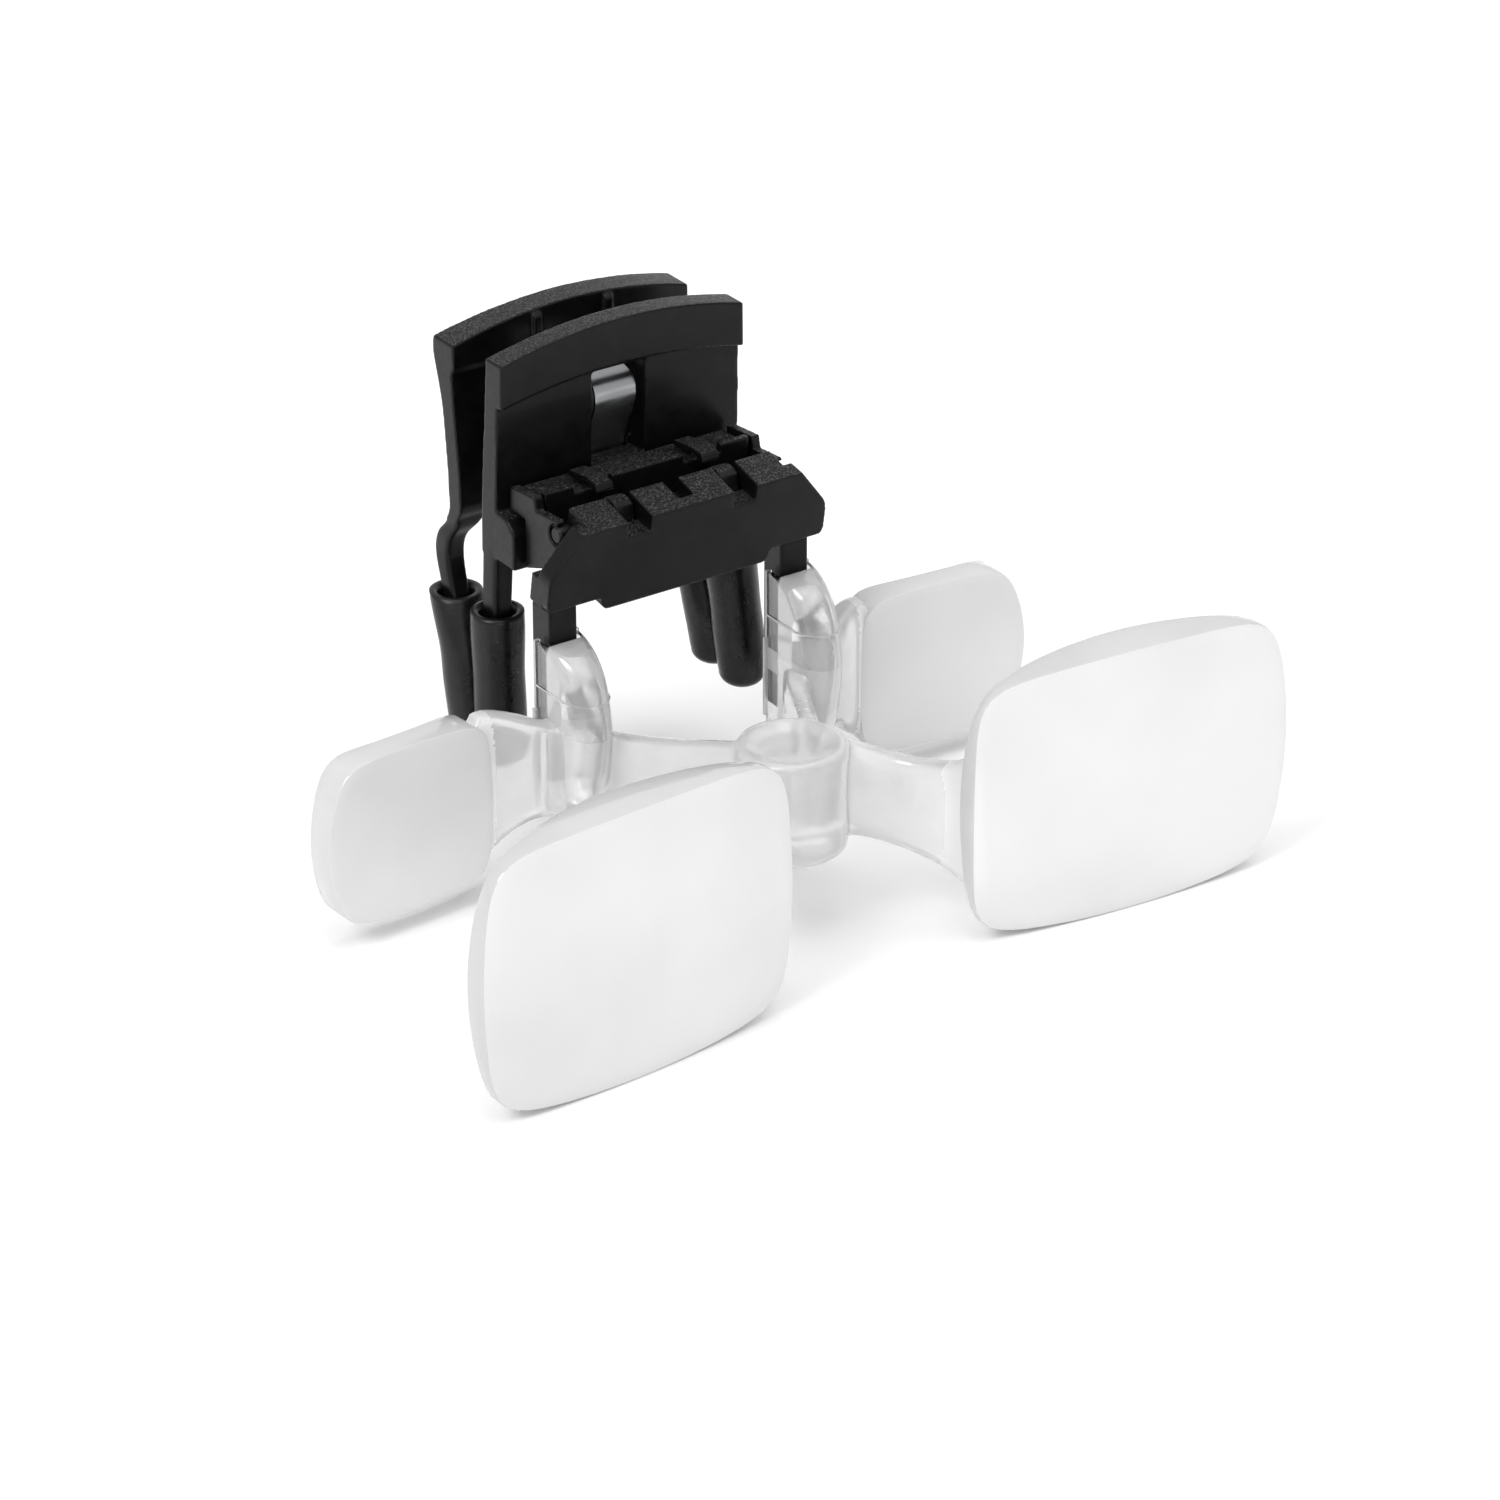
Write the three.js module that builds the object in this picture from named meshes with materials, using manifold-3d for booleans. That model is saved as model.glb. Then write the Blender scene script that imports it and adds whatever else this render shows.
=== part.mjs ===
// Clip-on binocular magnifier: four clear lenses on a hub, carried by a flip-up
// plate that hinges on a spring clip with rubber-sleeved legs.
// Millimetres. +X runs across the pair of lenses, -Y is the way the lenses look,
// +Z is up. "left" is the -X side. The origin is under the middle of the object.
import * as THREE from 'three';
import { mergeVertices } from 'three/addons/utils/BufferGeometryUtils.js';
import Module from 'manifold-3d';

const wasm = await Module();
wasm.setup();

// ---------------------------------------------------------------- dimensions
const GAP = 0.3;                  // clearance between neighbouring pieces
const FRAME_SHIFT = [0, 1.23, 7.8];  // hub frame to object frame

const FRONT_LENS = {
  centre: [28.7, -29.9, 6.4], width: 36.4, height: 28.4, bow: [2.0, 0.9, 1.1], turn: 4.6,
  frontRadius: 120, rearRadius: 44, thickness: 8, bulge: 1.4, rim: 21.6,
};
const REAR_LENS = {
  centre: [31.8, 5.3, 3.5], width: 19.8, height: 18.1, bow: [2.6, 0.9, 0.7], turn: 4.6,
  rearRadius: 26.7, thickness: 1.6, rim: 12.4,
};
const HUB = { y: -13, radius: 5.6, bottom: 0.2, top: 11.6, dish: 0.8, fillet: 0.7 };

const POST = { x: 13.7, halfWidth: 2.4, back: 7.7, bottom: 0.6, top: 18.4, noseDepth: 3.2 };
const ARM = { x: 13.7, width: 3.2, front: 6.2, back: 9.4, bottom: 3.6, top: 21.9 };

const PLATE = {
  lean: 9.6, y: 5.3, z: 20.9, thickness: 2.1, lipHalf: 9.7, wingHalf: 16.3, topHalf: 12.9,
  wingBottom: 1.5, shoulder: 5.2, height: 9.6, bossBack: 3.2,
};
const FLANGE = { halfWidth: 11.8, depth: 4.4, rise: 15, thickness: 1.5, notch: [4.85, 7.5], slot: 0.85 };
const HINGE = { y: 8.0, z: 28.9, pinRadius: 0.9, barrelRadius: 2.3, noseRadius: 1.5 };
const EAR = { inner: 12.3, outer: 13.3 };

const JAW = {
  halfWidth: 14.4, topHalf: 14.2, cornerTop: 43.9, crown: 1.9, bottom: 22.9, face: 17.0,
  bandHeight: 4.9, bandFront: 15.9, blockFront: 14.0, blockTop: 28.0,
};
const REAR_JAW = { halfWidth: 13.9, cornerTop: 42.7, bottom: 23.4 };
const WINDOW = { halfWidth: 3.1, bottom: 30.2, top: 40.3 };
const LEG = { width: 2.1, depth: 2.4 };
const SLEEVE = { radius: 2.7, tipRadius: 2.2, sides: 14 };
const PIVOT = { y: 22.0, z: 26.8, pinRadius: 0.9, lugRadius: 1.7, halfLength: 10 };
const FRONT_LUG = { inner: 8.2, outer: 9.8, root: 19.6 };
const REAR_LUG = { inner: 5.9, outer: 7.5, root: 25.2 };
const RIB = { x: 4.2, thickness: 1.0 };
const FINGER = { inner: 5.2, outer: 7.2 };
const SPRING = { halfWidth: 2.4, thickness: 0.5 };

// ----------------------------------------------------------------- materials
const clear = new THREE.MeshStandardMaterial({ color: 0xe6e8ea, roughness: 0.2, metalness: 0 });
const lensClear = new THREE.MeshStandardMaterial({ color: 0xf0f2f4, roughness: 0.08, metalness: 0 });
const black = new THREE.MeshStandardMaterial({ color: 0x17181a, roughness: 0.5, metalness: 0 });
const rubber = new THREE.MeshStandardMaterial({ color: 0x101112, roughness: 0.42, metalness: 0 });
const steel = new THREE.MeshStandardMaterial({ color: 0xc4c7ca, roughness: 0.22, metalness: 1 });

// ------------------------------------------------------------ solid builders
function solid(geometry) {
  const bare = geometry.index ? geometry.clone() : geometry;
  bare.deleteAttribute('normal');
  bare.deleteAttribute('uv');
  const welded = mergeVertices(bare, 1e-4);
  const vertProperties = new Float32Array(welded.attributes.position.array);
  const triVerts = new Uint32Array(welded.index.array);
  return new wasm.Manifold(new wasm.Mesh({ numProp: 3, vertProperties, triVerts }));
}

function geometryOf(body) {
  const mesh = body.getMesh();
  const geometry = new THREE.BufferGeometry();
  geometry.setAttribute('position', new THREE.BufferAttribute(mesh.vertProperties, 3));
  geometry.setIndex(new THREE.BufferAttribute(mesh.triVerts, 1));
  return geometry;
}

function mirrored(geometry) {
  const twin = geometry.clone().scale(-1, 1, 1);
  const index = twin.index.array;
  for (let i = 0; i < index.length; i += 3) [index[i], index[i + 1]] = [index[i + 1], index[i]];
  return twin;
}

// A closed outline through corner points [u, v, corner radius].
function outline(corners) {
  const shape = new THREE.Shape();
  const point = (i) => new THREE.Vector2(...corners[(i + corners.length) % corners.length]);
  corners.forEach((corner, i) => {
    const at = point(i);
    const towards = (other) => other.clone().sub(at).normalize().multiplyScalar(corner[2] ?? 0).add(at);
    const start = towards(point(i - 1));
    const end = towards(point(i + 1));
    if (i === 0) shape.moveTo(start.x, start.y);
    else shape.lineTo(start.x, start.y);
    if (corner[2]) shape.quadraticCurveTo(at.x, at.y, end.x, end.y);
  });
  shape.closePath();
  return shape;
}

// A rounded rectangle whose outer, inner and level edges bow outwards by the amounts in lens.bow.
function barrel(lens, grow = 0, count = 44, squareness = 9) {
  const [halfWidth, halfHeight] = [lens.width / 2 + grow, lens.height / 2 + grow];
  const [outer, inner, level] = lens.bow;
  const outside = (u, v) => {
    const width = halfWidth - (u > 0 ? outer : inner) * (v / halfHeight) ** 2;
    const height = halfHeight - level * (u / halfWidth) ** 2;
    return Math.abs(u / width) ** squareness + Math.abs(v / height) ** squareness > 1;
  };
  const points = [];
  for (let i = 0; i < count; i++) {
    const angle = (2 * Math.PI * i) / count;
    const [c, s] = [halfWidth * Math.cos(angle), halfHeight * Math.sin(angle)];
    let [short, long] = [0.3, 1.5];
    while (long - short > 1e-6) {
      const reach = (short + long) / 2;
      if (outside(reach * c, reach * s)) long = reach;
      else short = reach;
    }
    points.push(new THREE.Vector2(short * c, short * s));
  }
  return new THREE.Shape(points);
}

function extruded(shape, depth) {
  return new THREE.ExtrudeGeometry(shape, { depth, bevelEnabled: false, curveSegments: 3 });
}

// Prisms: the outline lies in the plane across the named axis.
function prismX(corners, low, high) {
  const turn = new THREE.Matrix4().makeBasis(
    new THREE.Vector3(0, 1, 0), new THREE.Vector3(0, 0, 1), new THREE.Vector3(1, 0, 0));
  return solid(extruded(outline(corners), high - low).applyMatrix4(turn).translate(low, 0, 0));
}

function prismY(shape, low, high) {
  return solid(extruded(shape, high - low).rotateX(Math.PI / 2).translate(0, high, 0));
}

function box(x, y, z) {
  const geometry = new THREE.BoxGeometry(x[1] - x[0], y[1] - y[0], z[1] - z[0]);
  return solid(geometry.translate((x[0] + x[1]) / 2, (y[0] + y[1]) / 2, (z[0] + z[1]) / 2));
}

function cylinderX(radius, low, high, y, z, sides = 18) {
  const geometry = new THREE.CylinderGeometry(radius, radius, high - low, sides);
  return solid(geometry.rotateZ(Math.PI / 2).translate((low + high) / 2, y, z));
}

// A closed skin over rings that all have the same number of points.
function loft(rings) {
  const count = rings[0].length;
  const middle = (ring) => ring.reduce((sum, p) => sum.add(p), new THREE.Vector3()).divideScalar(count);
  const points = [...rings.flat(), middle(rings[0]), middle(rings[rings.length - 1])];
  const [first, last] = [points.length - 2, points.length - 1];
  const index = [];
  for (let j = 0; j < count; j++) {
    const k = (j + 1) % count;
    for (let i = 0; i + 1 < rings.length; i++) {
      const [a, b, c, d] = [i * count + j, i * count + k, (i + 1) * count + k, (i + 1) * count + j];
      index.push(a, b, c, a, c, d);
    }
    const top = (rings.length - 1) * count;
    index.push(first, k, j, last, top + j, top + k);
  }
  if (signedVolume(points, index) < 0) index.reverse();
  const geometry = new THREE.BufferGeometry().setFromPoints(points);
  geometry.setIndex(index);
  return solid(geometry);
}

function signedVolume(points, index) {
  let volume = 0;
  for (let i = 0; i < index.length; i += 3) {
    const [a, b, c] = [points[index[i]], points[index[i + 1]], points[index[i + 2]]];
    volume += a.dot(b.clone().cross(c)) / 6;
  }
  return volume;
}

// An upright wall that follows stations [x, y, half thickness, z low, z high].
function wall(stations) {
  const rings = stations.map((station, i) => {
    const [x, y, half, low, high] = station;
    const before = stations[Math.max(i - 1, 0)];
    const after = stations[Math.min(i + 1, stations.length - 1)];
    const along = new THREE.Vector2(after[0] - before[0], after[1] - before[1]).normalize();
    const [sx, sy] = [along.y * half, -along.x * half];
    return [
      new THREE.Vector3(x + sx, y + sy, low), new THREE.Vector3(x + sx, y + sy, high),
      new THREE.Vector3(x - sx, y - sy, high), new THREE.Vector3(x - sx, y - sy, low),
    ];
  });
  return loft(rings);
}

// A bar whose level sections follow stations [x, y, z], from top to bottom.
function bar(stations, section) {
  const rings = stations.map(([x, y, z], i) => section(i).map(
    ([u, v]) => new THREE.Vector3(x + u, y + v, z)));
  return loft(rings);
}

const circle = (radius, sides) => Array.from({ length: sides }, (_, i) => {
  const angle = (-2 * Math.PI * (i + 0.5)) / sides;
  return [radius * Math.cos(angle), radius * Math.sin(angle)];
});
const rectangle = (width, depth) => [
  [-width / 2, -depth / 2], [-width / 2, depth / 2], [width / 2, depth / 2], [width / 2, -depth / 2]];

// ---------------------------------------------------------------- the lenses
const sag = (radius, r) => radius - Math.sqrt(radius * radius - r * r);

function lensBlank(profile) {
  return solid(new THREE.LatheGeometry(profile.map(([r, y]) => new THREE.Vector2(r, y)), 30));
}

function frontLens() {
  const { bulge, thickness, frontRadius, rearRadius, rim } = FRONT_LENS;
  const steps = [0, 0.3, 0.55, 0.78, 1].map((part) => part * rim);
  const front = steps.map((r) => [r, -bulge + sag(frontRadius, r)]);
  const rear = steps.map((r) => [r, thickness - bulge - sag(rearRadius, r)]).reverse();
  const blank = lensBlank([...front, ...rear]);
  return blank.intersect(prismY(barrel(FRONT_LENS), -5, 12));
}

function rearLens() {
  const { thickness, rearRadius, rim } = REAR_LENS;
  const steps = [0, 0.35, 0.62, 0.82, 1].map((part) => part * rim);
  const rear = steps.map((r) => [r, thickness + sag(rearRadius, r)]).reverse();
  const blank = lensBlank([[0, 0], [rim, 0], ...rear]);
  return blank.intersect(prismY(barrel(REAR_LENS), -5, 12));
}

// The room a turned lens takes, with the clearance its neighbours leave it.
function lensRoom(lens, depth) {
  const [x, y, z] = lens.centre;
  const geometry = extruded(barrel(lens, GAP), depth[1] - depth[0]).rotateX(Math.PI / 2).translate(0, depth[1], 0);
  geometry.rotateZ(THREE.MathUtils.degToRad(-lens.turn)).translate(x, y, z);
  return solid(geometry);
}

// ------------------------------------------------------------- hub and arms
function hubGeometry(grow = 0) {
  const { radius, bottom, top, dish, fillet } = HUB;
  const r = radius + grow;
  const profile = [
    [0, bottom - grow], [r - fillet, bottom - grow], [r, bottom + fillet], [r, top - fillet],
    [r - 0.3 * fillet, top - 0.2 * fillet], [r - fillet, top + grow], [0.72 * r, top - 0.35 * dish + grow],
    [0.5 * r, top - 0.9 * dish + grow], [0, top - dish + grow],
  ];
  const points = profile.map(([u, v]) => new THREE.Vector2(u, v));
  return new THREE.LatheGeometry(points, 28).rotateX(Math.PI / 2).translate(0, HUB.y, 0);
}

function postBody(grow = 0) {
  const { x, halfWidth, back, bottom, top, noseDepth } = POST;
  const half = halfWidth + grow;
  const fronts = [
    [bottom - grow, 1.2], [6, -0.2], [9.5, -0.6], [13, -0.3], [15.6, 0.6], [17.3, 2.0], [top - 0.3, 3.6],
    [top + grow, 4.6]];
  const rings = fronts.map(([z, front]) => {
    const nose = [];
    for (let i = 0; i <= 8; i++) {
      const angle = (Math.PI * i) / 8;
      nose.push([-half * Math.cos(angle), front - grow + noseDepth * (1 - Math.sin(angle))]);
    }
    const section = [...nose, [half, back + grow], [-half, back + grow]];
    return section.map(([u, v]) => new THREE.Vector3(x + u, v, z));
  });
  return loft(rings);
}

function post() {
  const channel = box(
    [POST.x - ARM.width / 2 - GAP, POST.x + ARM.width / 2 + GAP], [ARM.front - GAP, POST.back + 2],
    [POST.bottom - 2, POST.top + 2]);
  return postBody().subtract(channel);
}

function frontArm() {
  const path = [
    [4.0, -13.2, 1.8, 0.6, 10.4], [7.0, -15.6, 1.5, 0.4, 10.2], [9.7, -18.9, 1.3, -0.4, 9.6],
    [11.5, -22.8, 1.3, -1.2, 10.2], [12.2, -26.0, 1.5, -2.0, 11.8], [12.4, -29.0, 1.7, -2.4, 12.8]];
  return wall(path).subtract(solid(hubGeometry(GAP))).subtract(lensRoom(FRONT_LENS, [-1.8, 4.6]));
}

function rearArm() {
  const path = [
    [2.9, -11.4, 1.7, 0.6, 10.4], [5.2, -8.2, 1.3, 0.8, 11.0], [7.8, -3.6, 1.3, 1.2, 10.0],
    [10.4, 1.0, 1.4, 1.2, 9.4], [12.6, 4.2, 1.5, 1.2, 9.4]];
  return wall(path).subtract(solid(hubGeometry(GAP))).subtract(postBody(GAP));
}

function lensBridge() {
  const path = [
    [14.2, 3.4, 1.4, 1.4, 10.2], [17.2, 5.6, 1.4, 1.0, 10.4], [19.6, 7.2, 1.5, -0.6, 11.0],
    [21.6, 8.0, 1.6, -2.2, 11.6], [23.4, 8.4, 1.7, -2.8, 11.8]];
  return wall(path).subtract(postBody(GAP)).subtract(lensRoom(REAR_LENS, [-1, 6]));
}

// -------------------------------------------------------------- the carrier
const span = (side, inner, outer) => (side > 0 ? [inner, outer] : [-outer, -inner]);

// The leaning front plate with its wings, rear bosses and notched top flange.
function carrierPlate() {
  const { thickness, lipHalf, wingHalf, topHalf, wingBottom, shoulder, height } = PLATE;
  const right = [
    [lipHalf, 0, 0.8], [lipHalf + 0.2, wingBottom, 0.6], [wingHalf, wingBottom, 0.8],
    [wingHalf, shoulder, 0.8], [topHalf, height]];
  const left = [...right].reverse().map(([x, v, r]) => [-x, v, r]);
  const rise = THREE.MathUtils.degToRad(FLANGE.rise - PLATE.lean);
  const [reach, tip] = [FLANGE.depth * Math.cos(rise), height + FLANGE.depth * Math.sin(rise)];
  const underside = height - FLANGE.thickness;
  const flange = prismX([
    [0, height], [reach, tip], [reach, tip - FLANGE.thickness], [thickness - 0.2, underside - 0.4],
    [0, underside - 0.1]], -FLANGE.halfWidth, FLANGE.halfWidth);
  let plate = prismY(outline([...right, ...left]), 0, thickness).add(flange);
  for (const side of [-1, 1]) {
    const boss = box(span(side, lipHalf + 1.6, wingHalf), [1, PLATE.bossBack], [wingBottom, shoulder - 0.6]);
    const notch = box(span(side, ...FLANGE.notch), [-1, 2 * FLANGE.depth], [underside - 0.2, height + 3]);
    plate = plate.add(boss).subtract(notch);
  }
  const slot = box([-FLANGE.slot, FLANGE.slot], [thickness - 0.6, 8], [underside - 0.6, height + 3]);
  return plate.subtract(slot);
}

function hingeBarrel() {
  const [low, high] = [FLANGE.notch[0] + GAP, FLANGE.notch[1] - GAP];
  const { y, z, barrelRadius, pinRadius } = HINGE;
  const foot = box([low, high], [y - pinRadius, y + pinRadius], [z - 3.4, z]);
  const behindPlate = box([low - 1, high + 1], [y - 1.35, y + 5], [z - 5, z + 5]);
  const round = cylinderX(barrelRadius, low, high, y, z, 20).intersect(behindPlate);
  return round.add(foot).subtract(cylinderX(pinRadius + GAP, low - 1, high + 1, y, z));
}

// ------------------------------------------------------------------ the clip
function frontJaw() {
  const { halfWidth, topHalf, cornerTop, crown, bottom, face, blockFront, blockTop, bandFront } = JAW;
  const profile = [
    [face + 1.6, 47], [face, 47], [face - 0.2, 38.5], [face + 0.2, blockTop + 0.1],
    [blockFront + 1.4, blockTop, 0.5], [blockFront, blockTop - 1.2, 0.5], [blockFront, bottom],
    [face + 3, bottom], [face + 2.9, blockTop]];
  const plan = jawFace(halfWidth, topHalf, cornerTop, crown, bottom);
  const bandBottom = cornerTop - JAW.bandHeight;
  const band = jawFace(halfWidth - 0.1, topHalf, cornerTop, crown, bandBottom - 3);
  const below = jawFace(halfWidth + 1, halfWidth + 1, bandBottom, crown, 10);
  const window = box([-WINDOW.halfWidth, WINDOW.halfWidth], [10, 25], [WINDOW.bottom, WINDOW.top]);
  let jaw = prismX(profile, -halfWidth, halfWidth).intersect(prismY(plan, 0, 40));
  jaw = jaw.add(prismY(band, bandFront, face + 1).subtract(prismY(below, 0, 40))).subtract(window);
  for (const side of [-1, 1]) jaw = jaw.add(lug(side, FRONT_LUG));
  return jaw.subtract(pivotBore());
}

function pivotBore() {
  return cylinderX(PIVOT.pinRadius + GAP, -PIVOT.halfLength - 1, PIVOT.halfLength + 1, PIVOT.y, PIVOT.z);
}

// The front view of a jaw: straight sides and a crowned top.
function jawFace(halfWidth, topHalf, cornerTop, crown, bottom) {
  const shape = new THREE.Shape();
  shape.moveTo(-halfWidth, bottom);
  shape.lineTo(halfWidth, bottom);
  shape.lineTo(topHalf, cornerTop);
  for (let i = 1; i < 12; i++) {
    const x = topHalf * (1 - i / 6);
    shape.lineTo(x, cornerTop + crown * (1 - (x / topHalf) ** 2));
  }
  shape.lineTo(-topHalf, cornerTop);
  shape.closePath();
  return shape;
}

// A pivot lug that reaches from a jaw's inner face, at y = root, round the pivot pin.
function lug(side, { inner, outer, root }) {
  const [low, high] = span(side, inner, outer);
  const { y, z, lugRadius } = PIVOT;
  const web = box([low, high], [Math.min(root, y), Math.max(root, y)], [z - lugRadius, z + lugRadius]);
  return web.add(cylinderX(lugRadius, low, high, y, z));
}

function rearJaw() {
  const { halfWidth, cornerTop, bottom } = REAR_JAW;
  const profile = [
    [28.4, 46], [29.2, 41.2, 1], [27.6, 36.0, 2], [26.9, 29.0], [26.7, bottom + 1.2, 0.6],
    [27.4, bottom], [25.6, bottom], [24.5, bottom + 1.6, 0.6], [24.6, 28.6], [25.4, 36],
    [25.7, 39.5], [25.2, 40.4], [25.4, 46]];
  const ribProfile = [[26.5, 42.6], [24.9, 42.6], [24.0, 30], [26.0, 30]];
  const plan = jawFace(halfWidth, halfWidth, cornerTop, JAW.crown, bottom);
  let jaw = prismX(profile, -halfWidth, halfWidth).intersect(prismY(plan, 0, 40));
  for (const side of [-1, 1]) {
    jaw = jaw.add(prismX(ribProfile, side * RIB.x - RIB.thickness / 2, side * RIB.x + RIB.thickness / 2));
    jaw = jaw.add(lug(side, REAR_LUG));
  }
  return jaw.subtract(pivotBore());
}

// Each leg runs down from its jaw and on into its sleeve, whose last stations are its tip.
const FRONT_SLEEVE_PATH = [
  [13.8, 18.2, 16.9], [14.15, 17.6, 11.5], [14.4, 17.0, 6.2], [14.5, 16.7, 3.0], [14.5, 16.6, 1.4]];
const REAR_SLEEVE_PATH = [
  [13.7, 26.1, 16.0], [14.2, 23.8, 11.5], [14.5, 22.5, 7.0], [14.6, 21.9, 3.4], [14.6, 21.8, 1.9]];
const FRONT_LEG_PATH = [[13.35, 18.6, 22.6], ...FRONT_SLEEVE_PATH.slice(0, 3)];
const REAR_LEG_PATH = [
  [12.8, 26.5, 23.1], [13.1, 28.0, 21.0], [13.2, 27.9, 18.8], ...REAR_SLEEVE_PATH.slice(0, 3)];

function leg(path) {
  return bar(path, () => rectangle(LEG.width, LEG.depth));
}

// Closed at the tip, with a square bore that clears the leg and opens past the mouth.
function sleeve(path) {
  const { radius, tipRadius, sides } = SLEEVE;
  const last = path.length - 1;
  const taper = (i) => radius - (radius - tipRadius) * (i / last) ** 2;
  const outer = bar(path, (i) => circle(i === last ? tipRadius - 0.9 : taper(i), sides));
  const [mouth, next, end] = path;
  const above = mouth.map((value, i) => value - 0.3 * (next[i] - value));
  const floor = [end[0], end[1], end[2] - 2 * GAP];
  const bore = bar([above, mouth, next, floor], () => rectangle(LEG.width + 2 * GAP, LEG.depth + 2 * GAP));
  return outer.subtract(bore);
}

function hingeBracket() {
  const inner = EAR.inner - GAP;
  const deck = box([-inner, inner], [11.8, 16.4], [28.4, 30.6]);
  const front = box([-inner, inner], [11.8, 13.6], [24.2, 29]);
  let bracket = deck.add(front);
  for (const [low, high] of [[-inner, -8.6], [-4.2, 4.2], [8.6, inner]]) {
    bracket = bracket.add(prismX([[13.0, 30], [12.6, 31.5], [11.8, 31.5], [11.8, 30]], low, high));
  }
  return bracket;
}

function hingeEar() {
  const { y, z, noseRadius, pinRadius } = HINGE;
  const profile = [
    [16.4, 28.4], [16.2, 31.0], [11.8, 31.4], [11.5, 30.1], [y, z + noseRadius], [y - noseRadius, z, 0.9],
    [y - 1.0, z - 2.3, 0.8], [y + 0.4, z - 3.8, 0.6], [11.4, 24.0], [13.6, 23.2], [13.6, 28.4]];
  return prismX(profile, EAR.inner, EAR.outer).subtract(cylinderX(pinRadius + GAP, 0, EAR.outer + 1, y, z));
}

function detentFinger() {
  const profile = [
    [15.2, 31.0], [15.2, 31.6], [12.2, 32.0], [10.2, 31.9], [9.9, 31.0], [10.4, 31.0],
    [10.7, 31.3], [12.0, 31.4], [13.4, 31.0]];
  return prismX(profile, FINGER.inner, FINGER.outer);
}

// A bent leaf: a strip of even thickness along points [y, z].
function leaf(points) {
  const { halfWidth } = SPRING;
  const curve = new THREE.CatmullRomCurve3(points.map(([y, z]) => new THREE.Vector3(0, y, z)));
  const rings = [];
  for (let i = 0; i <= 14; i++) {
    const p = curve.getPointAt(i / 14);
    const along = curve.getTangentAt(i / 14);
    const [ny, nz] = [-along.z * SPRING.thickness / 2, along.y * SPRING.thickness / 2];
    rings.push([
      new THREE.Vector3(-halfWidth, p.y - ny, p.z - nz), new THREE.Vector3(-halfWidth, p.y + ny, p.z + nz),
      new THREE.Vector3(halfWidth, p.y + ny, p.z + nz), new THREE.Vector3(halfWidth, p.y - ny, p.z - nz)]);
  }
  return loft(rings);
}
const FRONT_LEAF = [
  [22.0, 25.0], [20.7, 25.6], [20.3, 27.6], [20.0, 31], [18.2, 35], [17.7, 37.6],
  [18.5, 39.0], [19.6, 38.9]];
const REAR_LEAF = [[22.4, 25.0], [23.3, 25.6], [23.7, 27.6], [23.4, 31], [23.6, 34], [24.0, 36.4]];

// ------------------------------------------------------------- the assembly
const object = new THREE.Group();
object.position.set(...FRAME_SHIFT);

function place(name, body, material, parent = object) {
  const mesh = new THREE.Mesh(body.isBufferGeometry ? body : geometryOf(body), material);
  mesh.name = name;
  parent.add(mesh);
  return mesh;
}

function pair(name, body, material, parent = object) {
  const geometry = geometryOf(body);
  place(`${name}_right`, geometry, material, parent);
  place(`${name}_left`, mirrored(geometry), material, parent);
}

const lenses = [['front_lens', FRONT_LENS, frontLens()], ['rear_lens', REAR_LENS, rearLens()]];
for (const [name, lens, body] of lenses) {
  const geometry = geometryOf(body);
  for (const [hand, side] of [['right', 1], ['left', -1]]) {
    const mesh = place(`${name}_${hand}`, side > 0 ? geometry : mirrored(geometry), lensClear);
    mesh.position.set(side * lens.centre[0], lens.centre[1], lens.centre[2]);
    mesh.rotation.z = THREE.MathUtils.degToRad(-side * lens.turn);
  }
}
place('centre_hub', solid(hubGeometry()), clear);
pair('front_arm', frontArm(), clear);
pair('rear_arm', rearArm(), clear);
pair('post', post(), clear);
pair('lens_bridge', lensBridge(), clear);

const leaningPlate = new THREE.Group();
leaningPlate.position.set(0, PLATE.y, PLATE.z);
leaningPlate.rotation.x = THREE.MathUtils.degToRad(PLATE.lean);
object.add(leaningPlate);
place('carrier_plate', carrierPlate(), black, leaningPlate);
const armSpan = [ARM.x - ARM.width / 2, ARM.x + ARM.width / 2];
pair('carrier_arm', box(armSpan, [ARM.front, ARM.back], [ARM.bottom, ARM.top]), black);
pair('hinge_barrel', hingeBarrel(), black);

place('front_jaw', frontJaw(), black);
pair('front_leg', leg(FRONT_LEG_PATH), black);
pair('front_sleeve', sleeve(FRONT_SLEEVE_PATH), rubber);
place('hinge_bracket', hingeBracket(), black);
pair('hinge_ear', hingeEar(), black);
pair('detent_finger', detentFinger(), black);
place('hinge_pin', cylinderX(HINGE.pinRadius, -EAR.outer, EAR.outer, HINGE.y, HINGE.z), steel);
const pivotSpan = [-PIVOT.halfLength, PIVOT.halfLength];
place('jaw_pivot_pin', cylinderX(PIVOT.pinRadius, ...pivotSpan, PIVOT.y, PIVOT.z), steel);
place('grip_spring_front_leaf', leaf(FRONT_LEAF), steel);

place('rear_jaw', rearJaw(), black);
pair('rear_leg', leg(REAR_LEG_PATH), black);
pair('rear_sleeve', sleeve(REAR_SLEEVE_PATH), rubber);
place('grip_spring_rear_leaf', leaf(REAR_LEAF), steel);

export default object;
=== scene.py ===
"""Looks for the clip-on binocular magnifier: clear lens unit, black spring clip, rubber sleeves, steel spring."""

import math

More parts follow.
